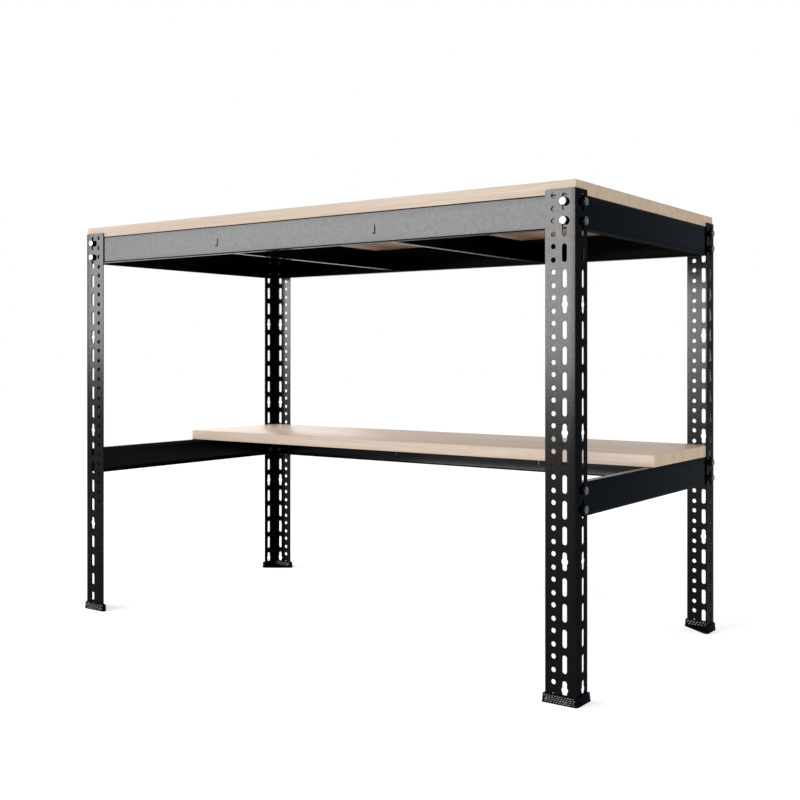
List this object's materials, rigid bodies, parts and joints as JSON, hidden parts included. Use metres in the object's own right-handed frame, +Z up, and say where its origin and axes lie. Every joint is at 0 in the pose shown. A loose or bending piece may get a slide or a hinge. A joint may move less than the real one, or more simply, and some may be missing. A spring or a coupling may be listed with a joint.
{
  "type": "assembly table",
  "caption": "Bolted workbench: slotted steel angle uprights on plastic shoes, channel rails, a plain worktop board and a half-depth lower shelf.",
  "frame": {"origin": "on the floor, under the middle of the table", "axes": "+Z up, +X along the table's length to the right as seen from the front, +Y towards the rear where the shelf is; the front faces -Y"},
  "size_m": [1.2146, 0.6326, 0.8429],
  "materials": {
    "black_steel": "black coated sheet steel, satin",
    "zinc_fasteners": "bright zinc",
    "board": "smooth pale board with a fine straight grain",
    "foot_plastic": "moulded black, knurled on the broad walls"
  },
  "bodies": {
    "root": {"bolt_shelf_left_end_front_lower": "zinc_fasteners", "bolt_shelf_left_end_front_upper": "zinc_fasteners", "bolt_shelf_left_end_rear_lower": "zinc_fasteners", "bolt_shelf_left_end_rear_upper": "zinc_fasteners", "bolt_shelf_rear_left_lower": "zinc_fasteners", "bolt_shelf_rear_left_upper": "zinc_fasteners", "bolt_shelf_rear_right_lower": "zinc_fasteners", "bolt_shelf_rear_right_upper": "zinc_fasteners", "bolt_shelf_right_end_front_lower": "zinc_fasteners", "bolt_shelf_right_end_front_upper": "zinc_fasteners", "bolt_shelf_right_end_rear_lower": "zinc_fasteners", "bolt_shelf_right_end_rear_upper": "zinc_fasteners", "bolt_top_front_left_lower": "zinc_fasteners", "bolt_top_front_left_upper": "zinc_fasteners", "bolt_top_front_right_lower": "zinc_fasteners", "bolt_top_front_right_upper": "zinc_fasteners", "bolt_top_left_end_front_lower": "zinc_fasteners", "bolt_top_left_end_front_upper": "zinc_fasteners", "bolt_top_left_end_rear_lower": "zinc_fasteners", "bolt_top_left_end_rear_upper": "zinc_fasteners", "bolt_top_rear_left_lower": "zinc_fasteners", "bolt_top_rear_left_upper": "zinc_fasteners", "bolt_top_rear_right_lower": "zinc_fasteners", "bolt_top_rear_right_upper": "zinc_fasteners", "bolt_top_right_end_front_lower": "zinc_fasteners", "bolt_top_right_end_front_upper": "zinc_fasteners", "bolt_top_right_end_rear_lower": "zinc_fasteners", "bolt_top_right_end_rear_upper": "zinc_fasteners", "cross_bar_left": "black_steel", "cross_bar_right": "black_steel", "foot_front_left": "foot_plastic", "foot_front_right": "foot_plastic", "foot_rear_left": "foot_plastic", "foot_rear_right": "foot_plastic", "shelf_board": "board", "shelf_rail_left": "black_steel", "shelf_rail_rear": "black_steel", "shelf_rail_right": "black_steel", "top_rail_front": "black_steel", "top_rail_left": "black_steel", "top_rail_rear": "black_steel", "top_rail_right": "black_steel", "upright_front_left": "black_steel", "upright_front_right": "black_steel", "upright_rear_left": "black_steel", "upright_rear_right": "black_steel", "worktop_board": "board"}
  },
  "joints": []
}
